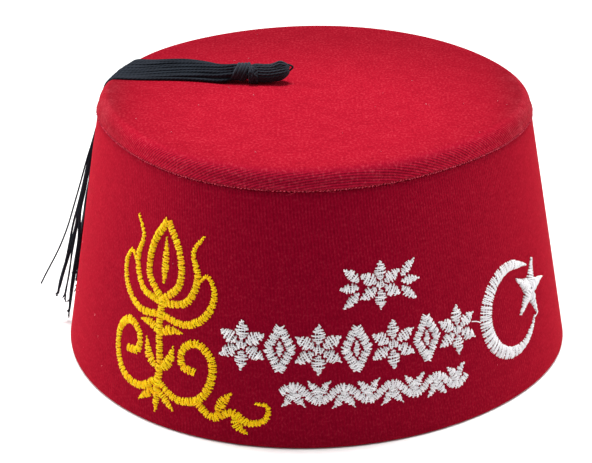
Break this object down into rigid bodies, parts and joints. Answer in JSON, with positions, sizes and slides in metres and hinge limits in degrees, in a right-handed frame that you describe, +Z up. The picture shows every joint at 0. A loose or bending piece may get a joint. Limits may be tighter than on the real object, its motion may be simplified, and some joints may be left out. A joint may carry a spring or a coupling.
{
  "type": "fez hat",
  "caption": "Tapered fez with a stiff cloth wall, a flat crown sewn over its top, and a black cord tassel that lies on the crown and hangs over the rim.",
  "frame": {"origin": "middle of the base of the whole hat's box, on the surface it stands on", "axes": "+Z up through the crown, -Y towards the front with the embroidery, the tassel hangs at -X"},
  "size_m": [0.1933, 0.1925, 0.1049],
  "materials": {
    "red_velour": "short knitted velour over a stiff wall",
    "red_velour_crown": "short knitted velour, pile standing up",
    "black_cord": "thin round cords with a slight sheen"
  },
  "bodies": {
    "root": {"side_wall": "red_velour", "crown_top": "red_velour_crown", "tassel": "black_cord", "tassel_binding": "black_cord"}
  },
  "joints": []
}
